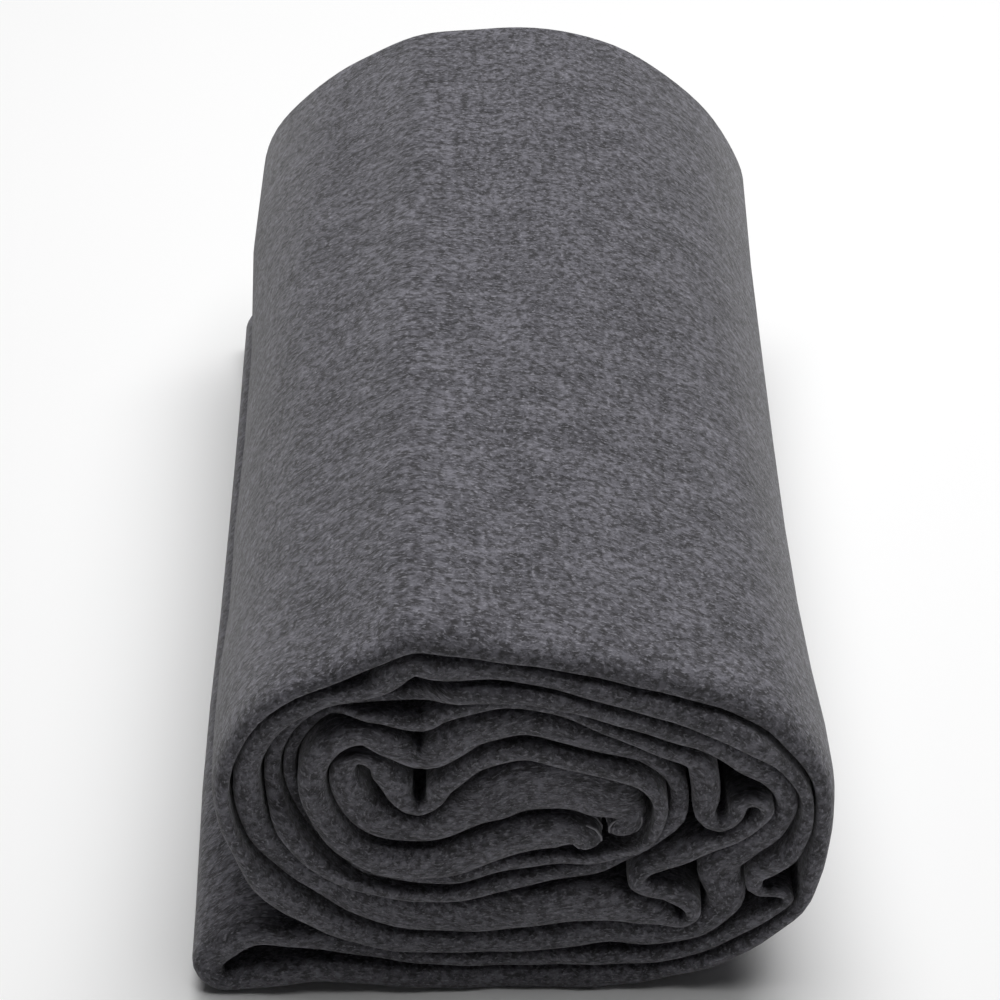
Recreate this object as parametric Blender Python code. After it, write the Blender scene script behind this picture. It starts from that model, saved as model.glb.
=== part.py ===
"""A rolled wool blanket, as one closed solid of wound cloth.

The blanket is folded lengthwise into a narrow strip, the strip is doubled end to end, and the
doubled strip is rolled up from its two hems. The bend of the doubling is the outer end of the
roll: it lies on the floor as a flap along the left side. Seen end on, the strip is one long
ribbon that starts at one hem in the core, winds outwards, turns back in the flap and winds
inwards to the other hem.

The roll lies along Y, with the end that shows its folds towards -Y and the flap towards -X.
The floor is z = 0. Lengths are metres, and the table of folds is in millimetres.
"""
import math
from collections import namedtuple

import bmesh
import bpy
import numpy as np

MM = 0.001

STRIP_WIDTH = 0.391          # the folded strip's width, which is the roll's length
CREASE_GAP = 0.0012          # air left between one layer of the strip and the next
THINNEST_HALF = 0.0011       # half of the strip where a fold squeezes it most
FLOOR_PRESS = 0.0012         # cloth this close to the floor is pressed flat on it

CURVE_STEP = 0.0015          # step along the smooth ribbon while it is worked out
CHORD_ERROR = 0.00040        # how far a flat facet may stand off the smooth ribbon
SHORTEST_FACET = 0.0036
LONGEST_FACET = 0.0170
FRONT_NOSE_ANGLES = (26.0, 58.0, 90.0)   # rings over the rounded front edge, degrees
BACK_NOSE_ANGLES = (90.0, 34.0)          # rings over the rounded far edge, degrees

# One row for each fold or run of the strip, from the upper hem to the lower hem. "thick" is how
# full the cloth stands there, and "places" are the bends (x, z) that its middle passes through,
# with x from the middle of the roll and z from the floor, all in millimetres.
Fold = namedtuple("Fold", "name thick places")
FOLDS = (
    Fold("upper hem", 22, ((37.5, 88.5), (36.5, 99))),
    Fold("tongue", 26, ((21, 110.5), (0, 114), (-17, 107))),
    Fold("heart bottom", 15, ((-33, 92.5), (-47, 92.5), (-57.5, 100))),
    Fold("heart top", 13, ((-62.5, 112), (-63, 122.5), (-59, 129), (-53, 126), (-47.5, 117))),
    Fold("vee", 11, ((-43.5, 108), (-38.5, 103.5), (-33.5, 107.5), (-29.5, 117))),
    Fold("first top", 10, ((-19.5, 130), (0, 136.2), (20, 130), (38.5, 122.5))),
    Fold("first right", 7, ((46.3, 112), (47, 101), (43.5, 88))),
    Fold("first bottom", 8, ((31, 76), (10, 73.5), (-10, 69), (-26, 61.5), (-43, 64), (-57, 69))),
    Fold("second left", 6, ((-71, 82), (-80, 101), (-82.5, 118), (-79, 134), (-70, 147))),
    Fold("pinch", 9.5, ((-55, 152.8), (-45, 149.8), (-37, 149.3), (-29.5, 154))),
    Fold("second top", 7, ((-10, 158.3), (10, 155), (32, 143.2), (50, 133.5))),
    Fold("hook down", 11, ((60.5, 127), (63.3, 112), (64, 102))),
    Fold("hook up", 14, ((68.3, 97.2), (74, 100.5), (77.8, 106.5), (82.3, 107), (85.8, 102.3),
                         (82.5, 95.5))),
    Fold("upper arm", 14, ((73, 87.5), (61, 80.5), (50, 75.3), (43.3, 69.5))),
    Fold("arrow", 12, ((41.5, 62.5), (46, 57.5), (54.5, 54.3), (61, 49.5), (62.3, 43.8), (58.8, 40.8))),
    Fold("second bottom", 20, ((48, 44.8), (27, 50.5), (5, 48), (-15, 43.5), (-40, 44), (-60, 52))),
    Fold("third left", 11.5, ((-80, 67), (-92.5, 86), (-98, 108), (-96.5, 128), (-86, 148.5))),
    Fold("ridge", 11, ((-68, 162), (-53, 168), (-44.5, 176), (-39, 178.5), (-32, 176.5))),
    Fold("third top", 11, ((-10, 174), (20, 165.5), (50, 154.5), (77, 140))),
    Fold("third right", 7, ((93, 122.5), (100.5, 107), (100.3, 88))),
    Fold("small buckle", 10, ((95, 78.5), (88.5, 71.5), (83.8, 64.5), (85, 57.8), (91.5, 56.3),
                              (95.8, 52.5), (92, 45))),
    Fold("third bottom", 9, ((76.5, 30.5), (58, 20), (25, 17.7), (-10, 15.8), (-45, 17.5))),
    Fold("flap top", 11, ((-72, 25.5), (-88, 30), (-101, 31.2))),
    Fold("flap fold", 15, ((-112.5, 24), (-117.3, 14.5), (-114, 7.7))),
    Fold("outer bottom", 12, ((-103, 7.2), (-91, 9.8), (-78, 11), (-55, 8.3), (-30, 6.2), (5, 5.8),
                              (38, 6.7))),
    Fold("outer right", 9, ((62, 11), (82, 23.5), (98, 43), (104.8, 65), (107.8, 92), (105, 116))),
    Fold("outer top", 11, ((88, 144), (62, 161.5), (30, 174), (-10, 184.5), (-38, 189.5))),
    Fold("outer left", 7.5, ((-63, 178.8), (-85, 162.5), (-101, 139), (-107, 115), (-104.5, 89))),
    Fold("third low", 13, ((-94, 65.5), (-76, 44.5), (-55, 30.5), (-25, 26), (5, 28), (30, 32))),
    Fold("column", 17, ((52, 30.3), (66, 34), (73, 42.5), (74, 51.5), (71.5, 61.5), (71.5, 70.5),
                        (77, 79.5), (86, 88.5))),
    Fold("above hook", 14, ((93, 99.5), (91, 108.5), (86.3, 116), (79.5, 123))),
    Fold("second high", 10, ((70, 131.5), (58, 139.5), (30, 152.5), (5, 163), (-22, 164.5))),
    Fold("behind ridge", 7, ((-40, 160.5), (-58, 158.5), (-74, 152), (-86, 133), (-88.5, 112))),
    Fold("second low", 9, ((-85, 95), (-72, 74.5), (-52, 61.5), (-28, 55), (-10, 59.5), (5, 65.5))),
    Fold("core right", 8, ((30.5, 67.8), (46.3, 80.5), (53.5, 97), (52.5, 114), (41, 128))),
    Fold("core top", 15, ((20, 140), (-2, 148.3), (-18, 146))),
    Fold("dip", 21, ((-29, 138.5), (-38.5, 132.8), (-47.5, 136.5))),
    Fold("core left", 13, ((-57.5, 142.8), (-67.5, 139.5), (-74.5, 124), (-73, 105), (-63, 84))),
    Fold("lower hem", 17, ((-44, 73.5), (-26, 76), (-8, 87.5), (3, 91), (13, 91.8), (20.5, 88),
                           (23, 83))),
)

# How the roll's shape changes along its length, from the front end (0) to the far end (1). "tuck"
# draws the right side in, where the roll is tighter. "sink" lowers the left shoulder and "slump"
# the right one, so that the ridge over the front end fades into a rounder far end. "flare" is how
# far the flap stands out. All are in millimetres.
Station = namedtuple("Station", "name along tuck sink slump flare")
STATIONS = (
    Station("front end", 0.00, 0.0, 0.0, 0.0, 1.5),
    Station("front neck", 0.10, 0.3, 1.5, 0.0, 2.0),
    Station("waist", 0.25, 4.6, 6.0, 1.0, 3.0),
    Station("middle", 0.60, 4.3, 12.5, 6.0, 0.5),
    Station("far end", 1.00, -1.3, 17.4, 22.0, 0.0),
)
TUCK_FROM, TUCK_TO = -0.040, 0.080       # x where the tuck starts, and where it is full
SINK_FROM, SINK_TO = 0.042, -0.062       # x where the sink starts, and where it is full
SLUMP_FROM, SLUMP_TO = 0.044, 0.125      # x where the slump starts, and where it is full
FLARE_FROM, FLARE_TO = -0.085, -0.110    # x where the flare starts, and where it is full
FLARE_LOW, FLARE_HIGH = 0.035, 0.075     # height up to which it is full, and where it is gone
SHOULDER_HEIGHT = 0.190                  # height at which the sink is full

WOOL_COLOUR = (0.130, 0.130, 0.138, 1.0)
WOOL_ROUGHNESS = 0.95


def clear_objects():
    """Removes whatever the file opened with."""
    for thing in list(bpy.data.objects):
        bpy.data.objects.remove(thing)


def smooth_ribbon():
    """The ribbon's middle as closely spaced points, with the fullness at each, in metres."""
    knots = np.array([place for fold in FOLDS for place in fold.places]) * MM
    fullness = np.array([fold.thick for fold in FOLDS for _ in fold.places]) * MM
    first = 2 * knots[0] - knots[1]
    last = 2 * knots[-1] - knots[-2]
    padded = np.vstack([first, knots, last])
    spacing = np.sqrt(np.linalg.norm(np.diff(padded, axis=0), axis=1))
    points, full = [], []
    for index in range(len(knots) - 1):
        p0, p1, p2, p3 = padded[index:index + 4]
        d0, d1, d2 = spacing[index:index + 3]
        leave = ((p1 - p0) / d0 - (p2 - p0) / (d0 + d1) + (p2 - p1) / d1) * d1
        arrive = ((p2 - p1) / d1 - (p3 - p1) / (d1 + d2) + (p3 - p2) / d2) * d1
        count = max(2, int(np.linalg.norm(p2 - p1) / CURVE_STEP))
        for step in range(count):
            t = step / count
            points.append((2 * t**3 - 3 * t**2 + 1) * p1 + (t**3 - 2 * t**2 + t) * leave
                          + (3 * t**2 - 2 * t**3) * p2 + (t**3 - t**2) * arrive)
            blend = t * t * (3 - 2 * t)
            full.append(fullness[index] * (1 - blend) + fullness[index + 1] * blend)
    points.append(knots[-1])
    full.append(fullness[-1])
    return np.array(points), np.array(full)


def side_normals(points):
    """Unit normals of the ribbon's middle, to its left."""
    along = np.gradient(points, axis=0)
    along /= np.linalg.norm(along, axis=1)[:, None]
    return np.column_stack([-along[:, 1], along[:, 0]])


def room_beside(points, full, normals):
    """How far the cloth can swell to the side of the normals before it meets other cloth.

    A ball that touches the ribbon at one point swells until it touches the ribbon elsewhere.
    Two layers share the room between them in proportion to their fullness.
    """
    room = np.empty(len(points))
    for index, point in enumerate(points):
        away = points - point
        ahead = away @ normals[index]
        facing = ahead > 1e-6
        ball = (away[facing] ** 2).sum(axis=1) / (2 * ahead[facing])
        share = 2 * full[index] / (full[index] + full[facing])
        room[index] = (ball * share).min() if facing.any() else 1.0
    swell = np.minimum(full / 2, room - CREASE_GAP / 2)
    return np.maximum(calm(swell), THINNEST_HALF)


def calm(values, reach=3):
    """Evens out a run of values without letting any of them grow."""
    wide = np.pad(values, reach, mode="edge")
    low = np.min([wide[shift:shift + len(values)] for shift in range(2 * reach + 1)], axis=0)
    wide = np.pad(low, reach, mode="edge")
    return np.mean([wide[shift:shift + len(values)] for shift in range(2 * reach + 1)], axis=0)


def facet_places(points):
    """Indices of the points kept, close together where the ribbon bends sharply."""
    along = np.gradient(points, axis=0)
    bend = np.gradient(along, axis=0)
    speed = np.linalg.norm(along, axis=1)
    turn = np.abs(along[:, 0] * bend[:, 1] - along[:, 1] * bend[:, 0]) / speed**3
    length = np.sqrt(8 * CHORD_ERROR / np.maximum(turn, 1e-6))
    length = calm(np.clip(length, SHORTEST_FACET, LONGEST_FACET))
    travel = np.concatenate([[0.0], np.cumsum(speed[1:] / length[1:])])
    count = int(travel[-1])
    wanted = np.linspace(0, travel[-1], count + 1)
    return np.unique(np.searchsorted(travel, wanted).clip(0, len(points) - 1))


def hem_rounding(points, keep, full):
    """Factor that rounds the cloth off at its two hems."""
    travel = np.concatenate([[0.0], np.cumsum(np.linalg.norm(np.diff(points, axis=0), axis=1))])
    from_end = np.minimum(travel, travel[-1] - travel)[keep]
    share = np.clip(from_end / (0.45 * full[keep]), 0.0, 1.0)
    return np.sqrt(1 - (1 - share) ** 2) * 0.72 + 0.28


def section():
    """The ribbon's kept points, its normals and its half thickness on both sides."""
    points, full = smooth_ribbon()
    normals = side_normals(points)
    left = room_beside(points, full, normals)
    right = room_beside(points, full, -normals)
    keep = facet_places(points)
    round_off = hem_rounding(points, keep, full)
    return points[keep], normals[keep], left[keep] * round_off, right[keep] * round_off


def ease(values, start, stop):
    """Rises smoothly from 0 at start to 1 at stop."""
    share = np.clip((values - start) / (stop - start), 0.0, 1.0)
    return share * share * (3 - 2 * share)


def shape_along(x, y, z):
    """Draws the section's places in and down to suit their distance along the roll."""
    share = y / STRIP_WIDTH + 0.5
    stops = [station.along for station in STATIONS]
    tuck = np.interp(share, stops, [station.tuck for station in STATIONS]) * MM
    sink = np.interp(share, stops, [station.sink for station in STATIONS]) * MM
    slump = np.interp(share, stops, [station.slump for station in STATIONS]) * MM
    flare = np.interp(share, stops, [station.flare for station in STATIONS]) * MM
    drop = sink * ease(x, SINK_FROM, SINK_TO) + slump * ease(x, SLUMP_FROM, SLUMP_TO)
    lowered = z - drop * z / SHOULDER_HEIGHT
    flared = flare * ease(x, FLARE_FROM, FLARE_TO) * ease(z, FLARE_HIGH, FLARE_LOW)
    return x - tuck * ease(x, TUCK_FROM, TUCK_TO) - flared, lowered


def ring(points, normals, left, right, angle, share):
    """One ring round the ribbon, at a share of the way along the roll.

    The angle runs over the rounded edge of each end, 90 degrees being the cloth's full thickness.
    """
    swell = math.sin(math.radians(angle))
    setback = (left + right) / 2 * (1 - math.cos(math.radians(angle)))
    one_side = points + normals * (left * swell)[:, None]
    other_side = points - normals * (right * swell)[:, None]
    outline = np.vstack([one_side, other_side[::-1]])
    inwards = np.concatenate([setback, setback[::-1]]) * (1 - 2 * share)
    y = STRIP_WIDTH * (share - 0.5) + inwards
    x, z = shape_along(outline[:, 0], y, outline[:, 1])
    z = np.where(z < FLOOR_PRESS, 0.0, z)
    return np.column_stack([x, y, z])


def blanket_rings():
    """All the rings from the front end to the far end, with the box's middle at x = 0."""
    cloth = section()
    rings = [ring(*cloth, angle, 0.0) for angle in FRONT_NOSE_ANGLES]
    rings += [ring(*cloth, 90.0, station.along) for station in STATIONS[2:-1]]
    rings += [ring(*cloth, angle, 1.0) for angle in BACK_NOSE_ANGLES]
    rings = np.array(rings)
    rings[:, :, 0] -= (rings[:, :, 0].min() + rings[:, :, 0].max()) / 2
    return rings


def wool_material():
    """Felted wool: dull, dark heather grey."""
    material = bpy.data.materials.new("felted wool")
    material.use_nodes = True
    shader = material.node_tree.nodes["Principled BSDF"]
    shader.inputs["Base Color"].default_value = WOOL_COLOUR
    shader.inputs["Roughness"].default_value = WOOL_ROUGHNESS
    shader.inputs["Metallic"].default_value = 0.0
    return material


def build_blanket():
    """Lofts the wound ribbon along the roll and closes both ends with a strip of quads."""
    rings = blanket_rings()
    around = len(rings[0])
    shape = bmesh.new()
    rows = [[shape.verts.new(place) for place in ring] for ring in rings]
    for row, next_row in zip(rows, rows[1:]):
        for index in range(around):
            following = (index + 1) % around
            shape.faces.new((row[index], row[following], next_row[following], next_row[index]))
    for row, outward in ((rows[0], False), (rows[-1], True)):
        for index in range(around // 2 - 1):
            corners = [row[index], row[index + 1], row[around - 2 - index], row[around - 1 - index]]
            shape.faces.new(corners if outward else corners[::-1])
    bmesh.ops.triangulate(shape, faces=shape.faces[:], quad_method="SHORT_EDGE")
    bmesh.ops.recalc_face_normals(shape, faces=shape.faces[:])
    mesh = bpy.data.meshes.new("blanket")
    shape.to_mesh(mesh)
    shape.free()
    mesh.shade_smooth()
    mesh.set_sharp_from_angle(angle=math.radians(50))
    mesh.materials.append(wool_material())
    blanket = bpy.data.objects.new("blanket", mesh)
    bpy.context.scene.collection.objects.link(blanket)
    return blanket


clear_objects()
build_blanket()
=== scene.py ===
"""The rolled wool blanket in its felted cloth, with its overcast hems, on a pale studio floor.

The blanket is folded lengthwise in four into a narrow strip, the strip is doubled end to end, and
the doubled strip is rolled up from its two hems. The bend of the doubling lies on the floor as a
flap along the left side. The cloth here is one thin sheet: its four layers follow the same wound
ribbon as the solid blanket, with the strip's two nested folds at the front end of the roll. Its
two hems meet in the middle of the roll and are overcast with thread.

The roll lies along Y, its open folds face -Y, and the floor is z = 0. Lengths are metres, and the
table of folds is in millimetres.
"""
import math
from collections import namedtuple

import bpy
import numpy as np
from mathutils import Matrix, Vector


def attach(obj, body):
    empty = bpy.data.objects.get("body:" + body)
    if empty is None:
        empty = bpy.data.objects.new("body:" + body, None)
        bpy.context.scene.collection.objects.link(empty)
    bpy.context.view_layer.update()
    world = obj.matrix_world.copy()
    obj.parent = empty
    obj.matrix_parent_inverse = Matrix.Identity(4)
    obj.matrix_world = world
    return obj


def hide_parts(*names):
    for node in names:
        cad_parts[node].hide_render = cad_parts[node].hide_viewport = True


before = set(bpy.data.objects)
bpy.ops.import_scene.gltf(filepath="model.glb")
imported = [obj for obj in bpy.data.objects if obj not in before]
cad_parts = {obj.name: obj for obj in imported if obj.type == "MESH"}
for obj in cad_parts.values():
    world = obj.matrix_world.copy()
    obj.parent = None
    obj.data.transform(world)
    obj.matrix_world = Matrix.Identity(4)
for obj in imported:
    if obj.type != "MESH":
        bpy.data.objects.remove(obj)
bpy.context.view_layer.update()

MM = 0.001

# ---- the wound ribbon -----------------------------------------------------------------------

STRIP_WIDTH = 0.391          # the folded strip's width, which is the roll's length
CREASE_GAP = 0.0009          # air left between one turn of the strip and the next
THINNEST_HALF = 0.0012       # half of the strip where a fold squeezes it most
FLOOR_PRESS = 0.0012         # cloth this close to the floor is pressed flat on it
PRESSED_SHARE = 0.02         # what is left of the height of pressed cloth

CLOTH_THICKNESS = 0.0021     # one layer of felted wool
TIGHTEST_STRIP = 4.3         # a squeezed strip's thickness over that of one of its four layers
LAYER_AIR = 0.0001           # least air between the strip's own layers
NOSE_DEPTH = 0.0052          # how far the strip's fold bulges at most at the front end
NOSE_SQUARENESS = 2.6        # 2 makes the strip's fold round, and more makes it squarer
OUTER_SLOPE = 0.0130         # how far the outermost turn rounds down towards its front crease
SLOPE_TIP = 0.42             # how far up its half thickness that turn's foremost line lies
SLOPE_SET_BACK = 0.0042      # how much deeper the inner fold lies under that turn
FIRST_SELVEDGE = 0.0035      # in from the roll's far end
SECOND_SELVEDGE = 0.0005     # in from the roll's far end
SELVEDGE_BULGE = 0.35        # how far a selvedge rounds out, over the cloth's thickness
SELVEDGE_WIDTH = 0.001       # the flat cloth's width round half of a selvedge

CURVE_STEP = 0.0010          # step along the smooth ribbon while it is worked out
CALM_REACH = 4               # steps to either side over which uneven values are evened out
AHEAD = 1e-6                 # places this far ahead of the ribbon can meet it as it swells
OPEN_ROOM = 1.0              # room to swell where there is no cloth ahead
LEAST_BEND = 1e-6            # a straight run counts as bent this little, in radians per metre
CHORD_ERROR = 0.00007        # how far a facet may stand off the smooth ribbon
SHORTEST_FACET = 0.0016
LONGEST_FACET = 0.0060

# One row for each fold or run of the strip, from the upper hem to the lower hem. "thick" is how
# full the cloth stands there, and "places" are the bends (x, z) that its middle passes through,
# with x from the middle of the roll and z from the floor, all in millimetres.
Fold = namedtuple("Fold", "name thick places")
FOLDS = (
    Fold("upper hem", 22, ((37.5, 88.5), (36.5, 99))),
    Fold("tongue", 26, ((21, 110.5), (0, 114), (-17, 107))),
    Fold("heart bottom", 15, ((-33, 92.5), (-47, 92.5), (-57.5, 100))),
    Fold("heart top", 13, ((-62.5, 112), (-63, 122.5), (-59, 129), (-53, 126), (-47.5, 117))),
    Fold("vee", 11, ((-43.5, 108), (-38.5, 103.5), (-33.5, 107.5), (-29.5, 117))),
    Fold("first top", 10, ((-19.5, 130), (0, 136.2), (20, 130), (38.5, 122.5))),
    Fold("first right", 7, ((46.3, 112), (47, 101), (43.5, 88))),
    Fold("first bottom", 8, ((31, 76), (10, 73.5), (-10, 69), (-26, 61.5), (-43, 64), (-57, 69))),
    Fold("second left", 6, ((-71, 82), (-80, 101), (-82.5, 118), (-79, 134), (-70, 147))),
    Fold("pinch", 9.5, ((-55, 152.8), (-45, 149.8), (-37, 149.3), (-29.5, 154))),
    Fold("second top", 7, ((-10, 158.3), (10, 155), (32, 143.2), (50, 133.5))),
    Fold("hook down", 11, ((60.5, 127), (63.3, 112), (64, 102))),
    Fold("hook up", 14, ((68.3, 97.2), (74, 100.5), (77.8, 106.5), (82.3, 107), (85.8, 102.3),
                         (82.5, 95.5))),
    Fold("upper arm", 14, ((73, 87.5), (61, 80.5), (50, 75.3), (43.3, 69.5))),
    Fold("arrow", 12, ((41.5, 62.5), (46, 57.5), (54.5, 54.3), (61, 49.5), (62.3, 43.8), (58.8, 40.8))),
    Fold("second bottom", 20, ((48, 44.8), (27, 50.5), (5, 48), (-15, 43.5), (-40, 44), (-60, 52))),
    Fold("third left", 11.5, ((-80, 67), (-92.5, 86), (-98, 108), (-96.5, 128), (-86, 148.5))),
    Fold("ridge", 11, ((-68, 162), (-53, 168), (-44.5, 176), (-39, 178.5), (-32, 176.5))),
    Fold("third top", 11, ((-10, 174), (20, 165.5), (50, 154.5), (77, 140))),
    Fold("third right", 7, ((93, 122.5), (100.5, 107), (100.3, 88))),
    Fold("small buckle", 10, ((95, 78.5), (88.5, 71.5), (83.8, 64.5), (85, 57.8), (91.5, 56.3),
                              (95.8, 52.5), (92, 45))),
    Fold("third bottom", 9, ((76.5, 30.5), (58, 20), (25, 17.7), (-10, 15.8), (-45, 17.5))),
    Fold("flap top", 11, ((-72, 25.5), (-88, 30), (-101, 31.2))),
    Fold("flap fold", 15, ((-112.5, 24), (-117.3, 14.5), (-114, 7.7))),
    Fold("outer bottom", 12, ((-103, 7.2), (-91, 9.8), (-78, 11), (-55, 8.3), (-30, 6.2), (5, 5.8),
                              (38, 6.7))),
    Fold("outer right", 9, ((62, 11), (82, 23.5), (98, 43), (104.8, 65), (107.8, 92), (105, 116))),
    Fold("outer top", 11, ((88, 144), (62, 161.5), (30, 174), (-10, 184.5), (-38, 189.5))),
    Fold("outer left", 7.5, ((-63, 178.8), (-85, 162.5), (-101, 139), (-107, 115), (-104.5, 89))),
    Fold("third low", 13, ((-94, 65.5), (-76, 44.5), (-55, 30.5), (-25, 26), (5, 28), (30, 32))),
    Fold("column", 17, ((52, 30.3), (66, 34), (73, 42.5), (74, 51.5), (71.5, 61.5), (71.5, 70.5),
                        (77, 79.5), (86, 88.5))),
    Fold("above hook", 14, ((93, 99.5), (91, 108.5), (86.3, 116), (79.5, 123))),
    Fold("second high", 10, ((70, 131.5), (58, 139.5), (30, 152.5), (5, 163), (-22, 164.5))),
    Fold("behind ridge", 7, ((-40, 160.5), (-58, 158.5), (-74, 152), (-86, 133), (-88.5, 112))),
    Fold("second low", 9, ((-85, 95), (-72, 74.5), (-52, 61.5), (-28, 55), (-10, 59.5), (5, 65.5))),
    Fold("core right", 8, ((30.5, 67.8), (46.3, 80.5), (53.5, 97), (52.5, 114), (41, 128))),
    Fold("core top", 15, ((20, 140), (-2, 148.3), (-18, 146))),
    Fold("dip", 21, ((-29, 138.5), (-38.5, 132.8), (-47.5, 136.5))),
    Fold("core left", 13, ((-57.5, 142.8), (-67.5, 139.5), (-74.5, 124), (-73, 105), (-63, 84))),
    Fold("lower hem", 17, ((-44, 73.5), (-26, 76), (-8, 87.5), (3, 91), (13, 91.8), (20.5, 88),
                           (23, 83))),
)

# How the roll's shape changes along its length, from the front end (0) to the far end (1). "tuck"
# draws the right side in, where the roll is tighter. "sink" lowers the left shoulder and "slump"
# the right one, so that the ridge over the front end fades into a rounder far end. "flare" is how
# far the flap stands out. All are in millimetres.
Station = namedtuple("Station", "name along tuck sink slump flare")
STATIONS = (
    Station("front end", 0.00, 0.0, 0.0, 0.0, 1.5),
    Station("front neck", 0.10, 0.3, 1.5, 0.0, 2.0),
    Station("waist", 0.25, 4.6, 6.0, 1.0, 3.0),
    Station("middle", 0.60, 4.3, 12.5, 6.0, 0.5),
    Station("far end", 1.00, -1.3, 17.4, 22.0, 0.0),
)
TUCK_FROM, TUCK_TO = -0.040, 0.080       # x where the tuck starts, and where it is full
SINK_FROM, SINK_TO = 0.042, -0.062       # x where the sink starts, and where it is full
SLUMP_FROM, SLUMP_TO = 0.044, 0.125      # x where the slump starts, and where it is full
FLARE_FROM, FLARE_TO = -0.085, -0.110    # x where the flare starts, and where it is full
FLARE_LOW, FLARE_HIGH = 0.035, 0.075     # height up to which it is full, and where it is gone
SHOULDER_HEIGHT = 0.190                  # height at which the sink is full

# Soft waves of the whole roll, so that no run of cloth is quite straight: their size, their length
# across, along and up, and the angle at which each one starts, in radians.
Wave = namedtuple("Wave", "size across along up start")
WAVES = (
    Wave(0.0009, 0.210, 0.330, 0.170, 0.4),
    Wave(0.0006, 0.120, 0.150, 0.240, 2.1),
    Wave(0.0004, 0.075, 0.090, 0.110, 4.0),
)
WAVE_LOW, WAVE_HIGH = 0.004, 0.060       # height at which the waves start, and where they are full
UP_STRETCH, UP_START = 1.07, 1.0         # keep the waves up and down out of step with those across

# Slow drifts of the strip's fold edge at the front end, out and in along the ribbon: the size and
# the length of each, and the angle at which it starts, in radians.
Drift = namedtuple("Drift", "size length start")
DRIFTS = (
    Drift(0.0016, 0.47, 0.3),
    Drift(0.0009, 0.19, 1.7),
    Drift(0.0004, 0.061, 3.1),
    Drift(0.00022, 0.023, 5.2),
)

# Runs of the strip whose fold lies deeper in the roll's front end than its neighbours', in
# millimetres.
SetBack = namedtuple("SetBack", "name depth")
SET_BACKS = (
    SetBack("second left", 9.0),
    SetBack("behind ridge", 8.0),
    SetBack("first bottom", 3.0),
    SetBack("core right", 2.0),
    SetBack("third right", 2.0),
)

# The turn of the strip that is outermost over the top, where its fold slopes down to the front.
OUTERMOST = ("outer right", "outer top", "outer left")

# Where the cloth has its lines: along a layer, as shares of the way from its front to its back, and
# round a fold, in degrees from its tip.
LENGTH_STEPS = (0.0, 0.05, 0.12, 0.22, 0.34, 0.48, 0.64, 0.82, 1.0)
OUTER_NOSE_TURNS = (81, 70, 59, 48, 37, 26, 14, 0, -14, -26, -37, -48, -59, -70, -81)
INNER_NOSE_TURNS = (60, 30, 0, -30, -60)

# How the strip and each layer of its cloth thin out towards the hems: distance in from the hem in
# metres, and the share of the full thickness there.
HemFall = namedtuple("HemFall", "inwards strip cloth")
HEM_FALL = (
    HemFall(0.0, 0.78, 0.45),
    HemFall(0.0003, 0.82, 0.74),
    HemFall(0.0008, 0.87, 0.93),
    HemFall(0.0020, 0.95, 1.0),
    HemFall(0.0042, 1.0, 1.0),
)


def fold_columns():
    """For each bend: the strip's fullness, how deep its fold is set, and whether it slopes."""
    depths = {row.name: row.depth for row in SET_BACKS}
    return np.array([(fold.thick * MM, depths.get(fold.name, 0.0) * MM, float(fold.name in OUTERMOST))
                     for fold in FOLDS for _ in fold.places])


def ease(values, start, stop):
    """Rises smoothly from 0 at start to 1 at stop."""
    share = np.clip((values - start) / (stop - start), 0.0, 1.0)
    return share * share * (3 - 2 * share)


def curve_between(start, leave, stop, arrive, t):
    """A place at the share t of a smooth curve from start to stop, with its slope at each end."""
    return ((2 * t**3 - 3 * t**2 + 1) * start + (t**3 - 2 * t**2 + t) * leave
            + (3 * t**2 - 2 * t**3) * stop + (t**3 - t**2) * arrive)


def smooth_ribbon():
    """The ribbon's middle as closely spaced points, with the fold columns at each.

    A smooth curve runs through every bend. Its slope there depends on the bends to either side and
    on how far off they are, so that it does not swing out where they are close together.
    """
    knots = np.array([place for fold in FOLDS for place in fold.places]) * MM
    columns = fold_columns()
    first = 2 * knots[0] - knots[1]
    last = 2 * knots[-1] - knots[-2]
    padded = np.vstack([first, knots, last])
    spacing = np.sqrt(np.linalg.norm(np.diff(padded, axis=0), axis=1))
    points, values = [], []
    for index in range(len(knots) - 1):
        before, here, there, after = padded[index:index + 4]
        gap_before, gap, gap_after = spacing[index:index + 3]
        leave = ((here - before) / gap_before - (there - before) / (gap_before + gap)
                 + (there - here) / gap) * gap
        arrive = ((there - here) / gap - (after - here) / (gap + gap_after)
                  + (after - there) / gap_after) * gap
        count = max(2, int(np.linalg.norm(there - here) / CURVE_STEP))
        for step in range(count):
            t = step / count
            points.append(curve_between(here, leave, there, arrive, t))
            blend = ease(t, 0.0, 1.0)
            values.append(columns[index] * (1 - blend) + columns[index + 1] * blend)
    points.append(knots[-1])
    values.append(columns[-1])
    return np.array(points), np.array(values)


def side_normals(points):
    """Unit normals of the ribbon's middle, to its left."""
    along = np.gradient(points, axis=0)
    along /= np.linalg.norm(along, axis=1)[:, None]
    return np.column_stack([-along[:, 1], along[:, 0]])


def calm(values):
    """Evens out a run of values without letting any of them grow."""
    shifts = range(2 * CALM_REACH + 1)
    wide = np.pad(values, CALM_REACH, mode="edge")
    low = np.min([wide[shift:shift + len(values)] for shift in shifts], axis=0)
    wide = np.pad(low, CALM_REACH, mode="edge")
    return np.mean([wide[shift:shift + len(values)] for shift in shifts], axis=0)


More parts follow.
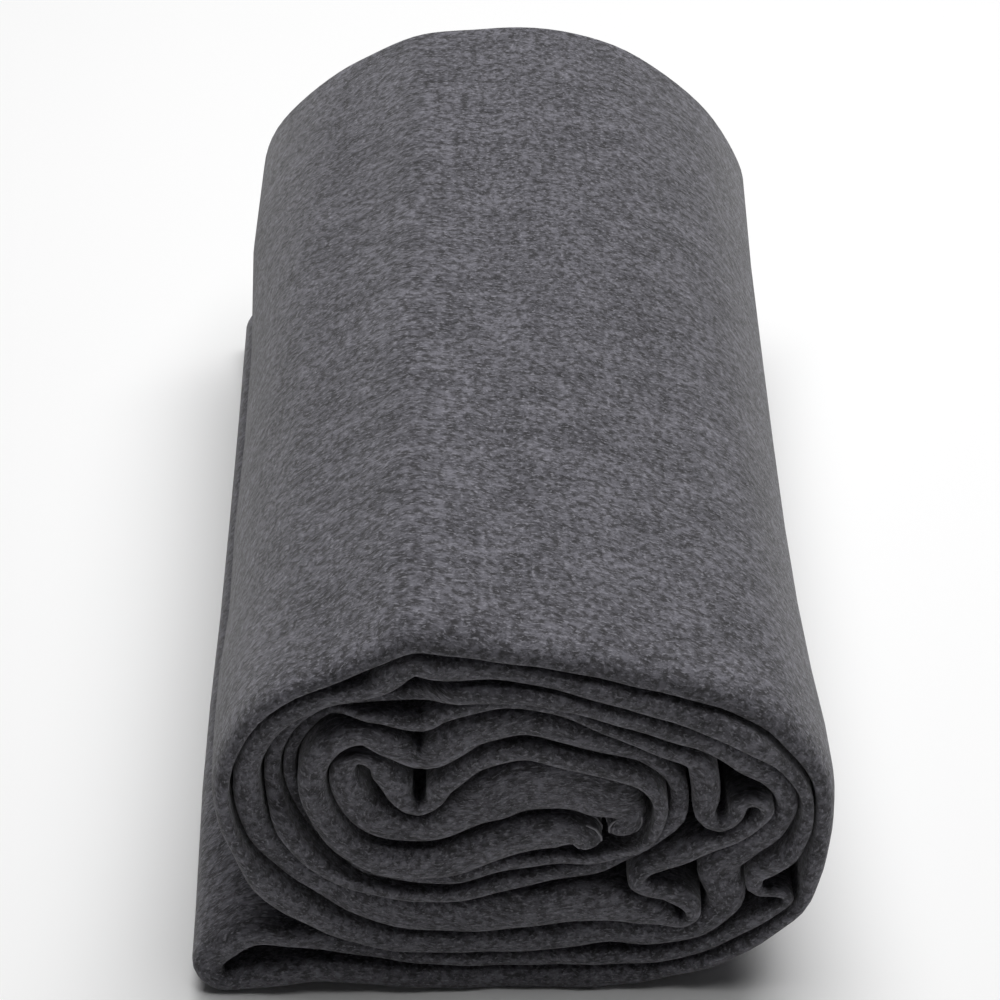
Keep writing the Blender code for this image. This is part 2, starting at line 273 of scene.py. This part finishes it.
def room_beside(points, full, normals):
    """How far the cloth can swell to the side of the normals before it meets other cloth.

    A ball that touches the ribbon at one point swells until it touches the ribbon elsewhere.
    Two neighbouring turns share the room between them in proportion to their fullness.
    """
    room = np.empty(len(points))
    for index, point in enumerate(points):
        away = points - point
        ahead = away @ normals[index]
        facing = ahead > AHEAD
        ball = (away[facing] ** 2).sum(axis=1) / (2 * ahead[facing])
        share = 2 * full[index] / (full[index] + full[facing])
        room[index] = (ball * share).min() if facing.any() else OPEN_ROOM
    swell = np.minimum(full / 2, room - CREASE_GAP / 2)
    return np.maximum(calm(swell), THINNEST_HALF)


def facet_places(points):
    """Indices of the points kept, close together where the ribbon bends sharply."""
    along = np.gradient(points, axis=0)
    bend = np.gradient(along, axis=0)
    speed = np.linalg.norm(along, axis=1)
    turn = np.abs(along[:, 0] * bend[:, 1] - along[:, 1] * bend[:, 0]) / speed**3
    length = np.sqrt(8 * CHORD_ERROR / np.maximum(turn, LEAST_BEND))
    length = calm(np.clip(length, SHORTEST_FACET, LONGEST_FACET))
    travel = np.concatenate([[0.0], np.cumsum(speed[1:] / length[1:])])
    count = int(travel[-1])
    wanted = np.linspace(0, travel[-1], count + 1)
    return np.unique(np.searchsorted(travel, wanted).clip(0, len(points) - 1))


def distance_along(points):
    """Distance of each point from the ribbon's start."""
    return np.concatenate([[0.0], np.cumsum(np.linalg.norm(np.diff(points, axis=0), axis=1))])


def along_stations(share, column):
    """A value from the stations' table at a share of the way along the roll, on a smooth curve."""
    stops = np.array([station.along for station in STATIONS])
    values = np.array([getattr(station, column) for station in STATIONS])
    slopes = np.gradient(values, stops)
    share = np.clip(share, 0.0, 1.0)
    left = np.clip(np.searchsorted(stops, share, side="right") - 1, 0, len(stops) - 2)
    width = stops[left + 1] - stops[left]
    return curve_between(values[left], width * slopes[left], values[left + 1],
                         width * slopes[left + 1], (share - stops[left]) / width)


def shape_along(x, y, z):
    """Draws places in and down to suit their distance along the roll, and adds the soft waves."""
    share = y / STRIP_WIDTH + 0.5
    tuck = along_stations(share, "tuck") * MM
    drop = (along_stations(share, "sink") * ease(x, SINK_FROM, SINK_TO)
            + along_stations(share, "slump") * ease(x, SLUMP_FROM, SLUMP_TO)) * MM
    lowered = z - drop * z / SHOULDER_HEIGHT
    flare = along_stations(share, "flare") * ease(x, FLARE_FROM, FLARE_TO) * MM
    drawn_in = x - tuck * ease(x, TUCK_FROM, TUCK_TO) - flare * ease(z, FLARE_HIGH, FLARE_LOW)
    lift = ease(z, WAVE_LOW, WAVE_HIGH)
    for wave in WAVES:
        phase = math.tau * (x / wave.across + y / wave.along + z / wave.up) + wave.start
        drawn_in = drawn_in + wave.size * np.sin(phase) * lift
        lowered = lowered + wave.size * np.cos(phase * UP_STRETCH + UP_START) * lift
    return drawn_in, lowered


def fold_edge_drift(distance):
    """How far the strip's fold edge stands back from the roll's front end."""
    drift = sum(wave.size * np.sin(math.tau * distance / wave.length + wave.start) for wave in DRIFTS)
    return drift - drift.min()


Ribbon = namedtuple("Ribbon", "distance centre normal half front slope")


def folded_ribbon():
    """The strip's middle at every place where the cloth has a line of vertices.

    Each place has its distance from the upper hem, its centre (x, z), the normal there, half the
    strip's thickness, the y of its front fold, and 1 where that fold slopes on its outer side.
    """
    points, columns = smooth_ribbon()
    full = columns[:, 0]
    normals = side_normals(points)
    left = room_beside(points, full, normals)
    right = room_beside(points, full, -normals)
    travel = distance_along(points)
    near_hem = np.array([row.inwards for row in HEM_FALL])
    along = travel[facet_places(points)]
    clear = near_hem[-1] + CURVE_STEP
    between = along[(along > clear) & (along < travel[-1] - clear)]
    distance = np.concatenate([near_hem, between, travel[-1] - near_hem[::-1]])

    def at(values):
        return np.interp(distance, travel, values)

    normal = np.column_stack([at(normals[:, 0]), at(normals[:, 1])])
    normal /= np.linalg.norm(normal, axis=1)[:, None]
    centre = np.column_stack([at(points[:, 0]), at(points[:, 1])])
    centre = centre + normal * (at(left - right) / 2)[:, None]
    half = at(left + right) / 2 * hem_share(distance, "strip")
    front = -STRIP_WIDTH / 2 + fold_edge_drift(distance) + at(columns[:, 1])
    return Ribbon(distance, centre, normal, half, front, at(columns[:, 2]))


def hem_share(distance, column):
    """The share of its full thickness that the strip or its cloth has left near the hems."""
    from_hem = np.minimum(distance, distance[-1] - distance)
    return np.interp(from_hem, [row.inwards for row in HEM_FALL],
                     [getattr(row, column) for row in HEM_FALL])


def layer_lines(ribbon, thick):
    """The cloth's lines along the ribbon, on its outside and on its inside, as places (y, off).

    off is the distance from the strip's middle. The cloth runs from its first selvedge at the far
    end to the outer fold at the front, back to the fold at the far end, forward to the inner fold,
    and back to its second selvedge.
    """
    half, slope = ribbon.half, ribbon.slope
    air = (2 * half - 4 * thick) / 3
    outer = half - thick / 2
    inner = (thick + air) / 2
    wide, narrow = inner + thick / 2, inner - thick / 2
    bulge = np.minimum(half, NOSE_DEPTH)
    outer_bulge = bulge + slope * (OUTER_SLOPE - bulge)
    tip = slope * SLOPE_TIP * half
    far = STRIP_WIDTH / 2
    fold_far = far - wide
    inner_front = ribbon.front + thick + 3 * LAYER_AIR + wide + slope * SLOPE_SET_BACK
    outside, inside = [], []

    def add_line(y_outside, off_outside, y_inside, off_inside):
        outside.append(np.column_stack([y_outside, off_outside]))
        inside.append(np.column_stack([y_inside, off_inside]))

    def add_run(middle, side, front, back):
        """A layer's run along the roll. side is +1 where the outside faces the ribbon's left."""
        for share in (LENGTH_STEPS if side < 0 else LENGTH_STEPS[::-1]):
            y = front + (back - front) * share
            add_line(y, middle + side * thick / 2, y, middle - side * thick / 2)

    def add_inner_fold(y_middle, off_middle, outside_radius, inside_radius, facing):
        """A round fold from one layer to the next. facing is +1 at the far end, -1 at the front."""
        for turn in INNER_NOSE_TURNS:
            sine, cosine = math.sin(math.radians(turn)), math.cos(math.radians(turn))
            add_line(y_middle + facing * outside_radius * cosine, off_middle - outside_radius * sine,
                     y_middle + facing * inside_radius * cosine, off_middle - inside_radius * sine)

    add_run(outer, 1, ribbon.front + bulge, far - FIRST_SELVEDGE)
    for turn in OUTER_NOSE_TURNS:
        across = math.copysign(abs(math.sin(math.radians(turn))) ** (2 / NOSE_SQUARENESS), turn)
        ahead = math.cos(math.radians(turn)) ** (2 / NOSE_SQUARENESS)
        deep, reach = (bulge, half - tip) if turn > 0 else (outer_bulge, half + tip)
        add_line(ribbon.front + deep * (1 - ahead), tip + reach * across,
                 ribbon.front + deep - (deep - thick) * ahead, tip + (reach - thick) * across)
    add_run(-outer, -1, ribbon.front + outer_bulge, fold_far)
    add_inner_fold(fold_far, -(outer + inner) / 2, wide, narrow, 1)
    add_run(-inner, 1, inner_front, fold_far)
    add_inner_fold(inner_front, 0.0, narrow, wide, -1)
    add_run(inner, -1, inner_front, far - SECOND_SELVEDGE)
    return np.array(outside), np.array(inside)


def cloth_loop(ribbon):
    """The closed loop of lines round the cloth's thickness, and each one's place across the cloth."""
    thick = np.minimum(CLOTH_THICKNESS, 2 * ribbon.half / TIGHTEST_STRIP)
    outside, inside = layer_lines(ribbon, thick)
    middle = (outside + inside) / 2
    share = hem_share(ribbon.distance, "cloth")[None, :, None]
    outside = middle + (outside - middle) * share
    inside = middle + (inside - middle) * share
    bulge = np.column_stack([thick * SELVEDGE_BULGE, np.zeros(len(thick))])
    loop = np.concatenate([outside, middle[-1:] + bulge, inside[::-1], middle[:1] + bulge])

    crossing = np.cumsum(np.linalg.norm(np.diff(middle, axis=0), axis=2), axis=0)
    across = np.concatenate([np.zeros((1, len(thick))), crossing])
    across = np.concatenate([across, across[-1:] + SELVEDGE_WIDTH, across[::-1],
                             across[:1] - SELVEDGE_WIDTH])
    return loop, across


def rolled_vertices(loop, ribbon):
    """The loop's lines laid on the wound ribbon, a ring of vertices at each of its places."""
    y, off = loop[:, :, 0], loop[:, :, 1]
    x, z = shape_along(ribbon.centre[:, 0] + ribbon.normal[:, 0] * off, y,
                       ribbon.centre[:, 1] + ribbon.normal[:, 1] * off)
    z = np.where(z < FLOOR_PRESS, z * PRESSED_SHARE, z)
    return np.stack([x, y, z], axis=2).transpose(1, 0, 2).reshape(-1, 3)


def cloth_faces(around, rings):
    """Quads between neighbouring rings, and the two hems' edges closed across the thickness."""
    ring, slot = np.meshgrid(np.arange(rings - 1), np.arange(around), indexing="ij")
    here = ring * around + slot
    beside = ring * around + (slot + 1) % around
    faces = np.stack([here, beside, beside + around, here + around], axis=2).reshape(-1, 4).tolist()
    lines = around // 2 - 1
    edge = [[line, line + 1, around - 3 - line, around - 2 - line] for line in range(lines - 1)]
    edge += [[lines - 1, lines, lines + 1], [around - 1, 0, around - 2]]
    last = (rings - 1) * around
    faces += edge
    faces += [[last + corner for corner in face[::-1]] for face in edge]
    return faces


def flat_places(ribbon, across, faces):
    """Where each corner of each face lies on the flat cloth: along the strip and across the cloth."""
    around, rings = across.shape
    places = np.column_stack([np.repeat(ribbon.distance, around), across.T.ravel()])
    corners = places[[corner for face in faces for corner in face]]
    # The last quad of each ring carries the map on round the first selvedge.
    quads = corners[:4 * around * (rings - 1)].reshape(rings - 1, around, 4, 2)
    quads[:, -1, 1:3, 1] = -2 * SELVEDGE_WIDTH
    return corners


def make_cloth(ribbon):
    """The felted cloth as a piece of the model, and the shift that puts its middle at x = 0."""
    loop, across = cloth_loop(ribbon)
    around, rings = across.shape
    vertices = rolled_vertices(loop, ribbon)
    shift = (vertices[:, 0].min() + vertices[:, 0].max()) / 2
    vertices[:, 0] -= shift
    faces = cloth_faces(around, rings)
    mesh = bpy.data.meshes.new("wool_blanket")
    mesh.from_pydata(vertices.tolist(), [], faces)
    layer = mesh.uv_layers.new(name="cloth")
    layer.data.foreach_set("uv", flat_places(ribbon, across, faces).ravel())
    mesh.update()
    mesh.shade_smooth()
    mesh.validate()
    cloth = bpy.data.objects.new("wool_blanket", mesh)
    bpy.context.scene.collection.objects.link(cloth)
    return cloth, shift


# ---- the overcast hems ----------------------------------------------------------------------

STITCH_SPACING = 0.0050      # along the hem
STITCH_LEAN = 0.0016         # how far a stitch slants along the hem
THREAD = 0.00036             # half the thread's thickness
THREAD_SIDES = 5
FIRST_STITCH = 0.0014        # in from the strip's front fold
UNSEWN = 0.0120              # length of the hem that is left without stitches, at its ends

# A stitch's path over the edge of one layer: inwards from the hem, up from the cloth's face, and
# how far the thread turns at each place, in degrees.
Bend = namedtuple("Bend", "inwards up turn")
STITCH_PATH = (
    Bend(0.0086, -0.0006, 0),
    Bend(0.0080, 0.0002, 0),
    Bend(0.0055, 0.0004, 0),
    Bend(0.0025, 0.0004, 0),
    Bend(0.0002, 0.0003, 0),
    Bend(-0.0005, -0.0004, 45),
    Bend(-0.0005, -0.0014, 45),
    Bend(0.0004, -0.0019, 45),
)


def make_stitch():
    """One overcast stitch on flat cloth: X runs inwards from the hem, Y along it and Z up."""
    first = STITCH_PATH[0]
    bpy.ops.object.select_all(action="DESELECT")
    bpy.ops.mesh.primitive_circle_add(vertices=THREAD_SIDES, radius=THREAD, fill_type="NGON",
                                      rotation=(0.0, math.radians(90), 0.0),
                                      location=(first.inwards, 0.0, first.up))
    stitch = bpy.context.active_object
    bpy.ops.object.transform_apply(location=True, rotation=True)
    bpy.ops.object.mode_set(mode="EDIT")
    bpy.ops.mesh.select_all(action="SELECT")
    lean = STITCH_LEAN / (len(STITCH_PATH) - 1)
    along = 0.0
    for before, after in zip(STITCH_PATH, STITCH_PATH[1:]):
        along += lean
        step = (after.inwards - before.inwards, lean, after.up - before.up)
        bpy.ops.mesh.extrude_region_move(TRANSFORM_OT_translate={"value": step})
        if after.turn:
            bpy.ops.transform.rotate(value=math.radians(-after.turn), orient_axis="Y",
                                     center_override=(after.inwards, along, after.up))
    bpy.ops.mesh.select_all(action="SELECT")
    bpy.ops.mesh.normals_make_consistent(inside=False)
    bpy.ops.object.mode_set(mode="OBJECT")
    return stitch


def lay_on_hem(flat, ribbon, end, side, start):
    """Carries a stitch's flat vertices onto one face of a hem.

    end is 0 at the upper hem and 1 at the lower one, side is +1 or -1, and start is the stitch's y.
    """
    inwards = np.maximum(flat[:, 0], 0.0)
    beyond = np.maximum(-flat[:, 0], 0.0) * (2 * end - 1)
    where = inwards if end == 0 else ribbon.distance[-1] - inwards

    def at(values):
        return np.interp(where, ribbon.distance, values)

    half = at(ribbon.half)
    y = start + flat[:, 1]
    behind_front = np.maximum(y - at(ribbon.front), 0.0)
    towards_fold = np.clip(1 - behind_front / np.minimum(half, NOSE_DEPTH), 0.0, 1.0)
    rounded = (1 - towards_fold ** NOSE_SQUARENESS) ** (1 / NOSE_SQUARENESS)
    out = side * (half * rounded + flat[:, 2])
    normal_x, normal_z = at(ribbon.normal[:, 0]), at(ribbon.normal[:, 1])
    x, z = shape_along(at(ribbon.centre[:, 0]) + normal_x * out + normal_z * beyond, y,
                       at(ribbon.centre[:, 1]) + normal_z * out - normal_x * beyond)
    return np.column_stack([x, y, z])


def make_hem_stitches(ribbon, shift):
    """Overcast stitches along both faces of both hems, each a copy of one stitch."""
    pattern = make_stitch()
    flat = np.array([vertex.co for vertex in pattern.data.vertices])
    count = int((STRIP_WIDTH - UNSEWN) / STITCH_SPACING)
    stitches = []
    for end, front in ((0, ribbon.front[0]), (1, ribbon.front[-1])):
        for side in (1, -1):
            for index in range(count):
                start = front + FIRST_STITCH + index * STITCH_SPACING
                laid = lay_on_hem(flat, ribbon, end, side, start) - (shift, 0.0, 0.0)
                copy = pattern.copy()
                copy.data = pattern.data.copy()
                copy.data.vertices.foreach_set("co", laid.ravel())
                bpy.context.scene.collection.objects.link(copy)
                stitches.append(copy)
    bpy.data.objects.remove(pattern)
    bpy.ops.object.select_all(action="DESELECT")
    for stitch in stitches:
        stitch.select_set(True)
    bpy.context.view_layer.objects.active = stitches[0]
    bpy.ops.object.join()
    sewn = bpy.context.active_object
    sewn.name = "hem_stitches"
    sewn.data.name = "hem_stitches"
    sewn.data.update()
    sewn.data.shade_smooth()
    return sewn


# ---- materials ------------------------------------------------------------------------------

def from_hex(code):
    """An sRGB hex colour as linear values, with an alpha of 1."""
    parts = [int(code[index:index + 2], 16) / 255 for index in (1, 3, 5)]
    linear = [part / 12.92 if part <= 0.04045 else ((part + 0.055) / 1.055) ** 2.4 for part in parts]
    return (*linear, 1.0)


# The wool's grains, from the broad mottle down to pale fibres and dark neps: how long each is along
# the ribbon and across it in millimetres, how finely and how strongly it breaks up, and where it
# starts. Its noise from "low" to "high" gives an effect from "least" to "most": how light the mottle
# is, how much of the heather is light wool, and how well the fibres and the neps cover. A single
# fibre is too fine to show, so the hair is drawn as coarse as a small tuft.
Grain = namedtuple("Grain", "name along across detail rough start low high least most")
GRAINS = (
    Grain("mottle", 26.0, 13.0, 5.0, 0.74, 3.0, 0.34, 0.66, 0.70, 1.30),
    Grain("heather", 3.8, 2.6, 4.0, 0.66, 11.0, 0.38, 0.62, 0.0, 1.0),
    Grain("hair", 2.0, 0.90, 2.0, 0.55, 23.0, 0.56, 0.72, 0.0, 0.60),
    Grain("nep", 2.4, 1.6, 2.0, 0.60, 41.0, 0.58, 0.74, 0.0, 0.60),
)
START_SLANT = 0.7            # a grain's start across the ribbon, over its start along it
NAP_WANDER = 0.0080          # size of the patches in which the nap lies one way
NAP_SWAY = 0.0018            # how far the fibres sway between the patches
NAP_RELIEF = 0.0005          # height of the lying fibres
LUMP_RELIEF = 0.0012         # height of the felt's small lumps
WOOL_DARK = "#3d3c3f"
WOOL_LIGHT = "#67666d"
PALE_FIBRE = "#93929a"
DARK_NEP = "#2b2b2d"


def add_node(tree, kind, settings=None, values=None, links=None):
    """Adds a node with its settings and input values, and links other outputs to its inputs."""
    node = tree.nodes.new(kind)
    for name, value in (settings or {}).items():
        setattr(node, name, value)
    for name, value in (values or {}).items():
        node.inputs[name].default_value = value
    for name, output in (links or {}).items():
        tree.links.new(output, node.inputs[name])
    return node


def felted_wool():
    """Recycled wool, woven, felted and lightly brushed.

    It is dull. Light and dark fibres are blended before spinning, which gives the heather mottle,
    with short pale streaks where a lighter fibre lies on top and small dark neps.
    """
    material = bpy.data.materials.new("felted heather wool")
    material.use_nodes = True
    tree = material.node_tree
    shader = tree.nodes["Principled BSDF"]
    flat = add_node(tree, "ShaderNodeUVMap", {"uv_map": "cloth"})

    # The nap wanders, so the streaks do not all point one way.
    wander = add_node(tree, "ShaderNodeTexNoise", {"noise_dimensions": "2D"},
                      {"Scale": 1 / NAP_WANDER, "Detail": 2.0}, {"Vector": flat.outputs["UV"]})
    off_centre = add_node(tree, "ShaderNodeVectorMath", {"operation": "SUBTRACT"},
                          {1: (0.5, 0.5, 0.5)}, {0: wander.outputs["Color"]})
    bent = add_node(tree, "ShaderNodeVectorMath", {"operation": "MULTIPLY_ADD"},
                    {1: (NAP_SWAY, NAP_SWAY, 0.0)},
                    {0: off_centre.outputs["Vector"], 2: flat.outputs["UV"]})

    noise, effect = {}, {}
    for grain in GRAINS:
        stretch = add_node(tree, "ShaderNodeMapping", {"vector_type": "POINT"},
                           {"Scale": (1 / (grain.along * MM), 1 / (grain.across * MM), 1.0),
                            "Location": (grain.start, grain.start * START_SLANT, 0.0)},
                           {"Vector": bent.outputs["Vector"]})
        grainy = add_node(tree, "ShaderNodeTexNoise", {"noise_dimensions": "2D"},
                          {"Scale": 1.0, "Detail": grain.detail, "Roughness": grain.rough},
                          {"Vector": stretch.outputs["Vector"]})
        spread = add_node(tree, "ShaderNodeMapRange", {},
                          {"From Min": grain.low, "From Max": grain.high,
                           "To Min": grain.least, "To Max": grain.most},
                          {"Value": grainy.outputs["Fac"]})
        noise[grain.name] = grainy.outputs["Fac"]
        effect[grain.name] = spread.outputs["Result"]

    # The colour: dark and light wool, the mottle, the pale fibres on top, and the dark neps.
    heather = add_node(tree, "ShaderNodeMix", {"data_type": "RGBA"},
                       {"A": from_hex(WOOL_DARK), "B": from_hex(WOOL_LIGHT)},
                       {"Factor": effect["heather"]})
    mottled = add_node(tree, "ShaderNodeVectorMath", {"operation": "SCALE"}, {},
                       {0: heather.outputs["Result"], "Scale": effect["mottle"]})
    haired = add_node(tree, "ShaderNodeMix", {"data_type": "RGBA"}, {"B": from_hex(PALE_FIBRE)},
                      {"Factor": effect["hair"], "A": mottled.outputs["Vector"]})
    colour = add_node(tree, "ShaderNodeMix", {"data_type": "RGBA"}, {"B": from_hex(DARK_NEP)},
                      {"Factor": effect["nep"], "A": haired.outputs["Result"]})
    tree.links.new(colour.outputs["Result"], shader.inputs["Base Color"])

    # The relief: the lying fibres of the nap, and the felt's small lumps.
    nap = add_node(tree, "ShaderNodeBump", {}, {"Strength": 0.60, "Distance": NAP_RELIEF},
                   {"Height": noise["hair"]})
    lumps = add_node(tree, "ShaderNodeBump", {}, {"Strength": 0.50, "Distance": LUMP_RELIEF},
                     {"Height": noise["heather"], "Normal": nap.outputs["Normal"]})
    tree.links.new(lumps.outputs["Normal"], shader.inputs["Normal"])
    shader.inputs["Roughness"].default_value = 0.95
    shader.inputs["Specular IOR Level"].default_value = 0.15
    shader.inputs["Sheen Weight"].default_value = 0.20
    shader.inputs["Sheen Roughness"].default_value = 0.55
    return material


def hem_thread():
    """Spun polyester sewing thread: smoother and paler than the wool."""
    material = bpy.data.materials.new("polyester thread")
    material.use_nodes = True
    shader = material.node_tree.nodes["Principled BSDF"]
    shader.inputs["Base Color"].default_value = from_hex("#85848a")
    shader.inputs["Roughness"].default_value = 0.6
    return material


def pale_floor():
    """A matt white studio sweep."""
    material = bpy.data.materials.new("matt white board")
    material.use_nodes = True
    shader = material.node_tree.nodes["Principled BSDF"]
    shader.inputs["Base Color"].default_value = from_hex("#fafafa")
    shader.inputs["Roughness"].default_value = 0.9
    return material


# ---- studio ---------------------------------------------------------------------------------

CAMERA_PLACE = (-0.0147, -0.7990, 0.8225)
CAMERA_TURN = 1.2            # degrees towards +X from +Y
CAMERA_DOWN = 43.0           # degrees below level
CAMERA_FIELD = 21.6          # degrees across

# Each lamp's place and the place it shines at, the side of its square, and its power in watts.
Lamp = namedtuple("Lamp", "name place aim size power")
LAMPS = (
    Lamp("overhead", (0.20, 0.42, 2.1), (0.0, 0.0, 0.1), 1.8, 57.0),
    Lamp("front_fill", (-0.6, -1.6, 0.9), (0.0, -0.1, 0.08), 1.2, 0.2),
)
ALL_ROUND_LIGHT = 0.02
FLOOR_SIZE = 12.0


def make_camera():
    """The camera, looking down on the open end of the roll."""
    data = bpy.data.cameras.new("camera")
    data.sensor_fit = "HORIZONTAL"
    data.angle = math.radians(CAMERA_FIELD)
    data.clip_start = 0.01
    camera = bpy.data.objects.new("camera", data)
    bpy.context.scene.collection.objects.link(camera)
    camera.location = CAMERA_PLACE
    camera.rotation_euler = (math.radians(90 - CAMERA_DOWN), 0.0, math.radians(-CAMERA_TURN))
    bpy.context.scene.camera = camera


def keep_plain_tones():
    """Shows tones as they are, so that the white board stays white beside the dark wool."""
    bpy.context.scene.view_settings.view_transform = "Standard"


def make_floor(material):
    """A wide pale floor."""
    bpy.ops.object.select_all(action="DESELECT")
    bpy.ops.mesh.primitive_plane_add(size=FLOOR_SIZE, location=(0.0, 0.0, 0.0))
    floor = bpy.context.active_object
    floor.name = "studio_floor"
    floor.data.materials.append(material)


def make_lights():
    """A large soft light above and behind the roll, and weak ones from the front and all round."""
    for row in LAMPS:
        data = bpy.data.lights.new(row.name, "AREA")
        data.shape = "SQUARE"
        data.size = row.size
        data.energy = row.power
        lamp = bpy.data.objects.new(row.name, data)
        bpy.context.scene.collection.objects.link(lamp)
        lamp.location = row.place
        direction = Vector(row.aim) - Vector(row.place)
        lamp.rotation_euler = direction.to_track_quat("-Z", "Y").to_euler()
    world = bpy.context.scene.world or bpy.data.worlds.new("studio")
    bpy.context.scene.world = world
    world.use_nodes = True
    background = world.node_tree.nodes["Background"]
    background.inputs["Color"].default_value = (1.0, 1.0, 1.0, 1.0)
    background.inputs["Strength"].default_value = ALL_ROUND_LIGHT


make_camera()
keep_plain_tones()
ribbon = folded_ribbon()
cloth, shift = make_cloth(ribbon)
cloth.data.materials.append(felted_wool())
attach(cloth, "root")
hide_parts("blanket")
stitches = make_hem_stitches(ribbon, shift)
stitches.data.materials.append(hem_thread())
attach(stitches, "root")
make_floor(pale_floor())
make_lights()
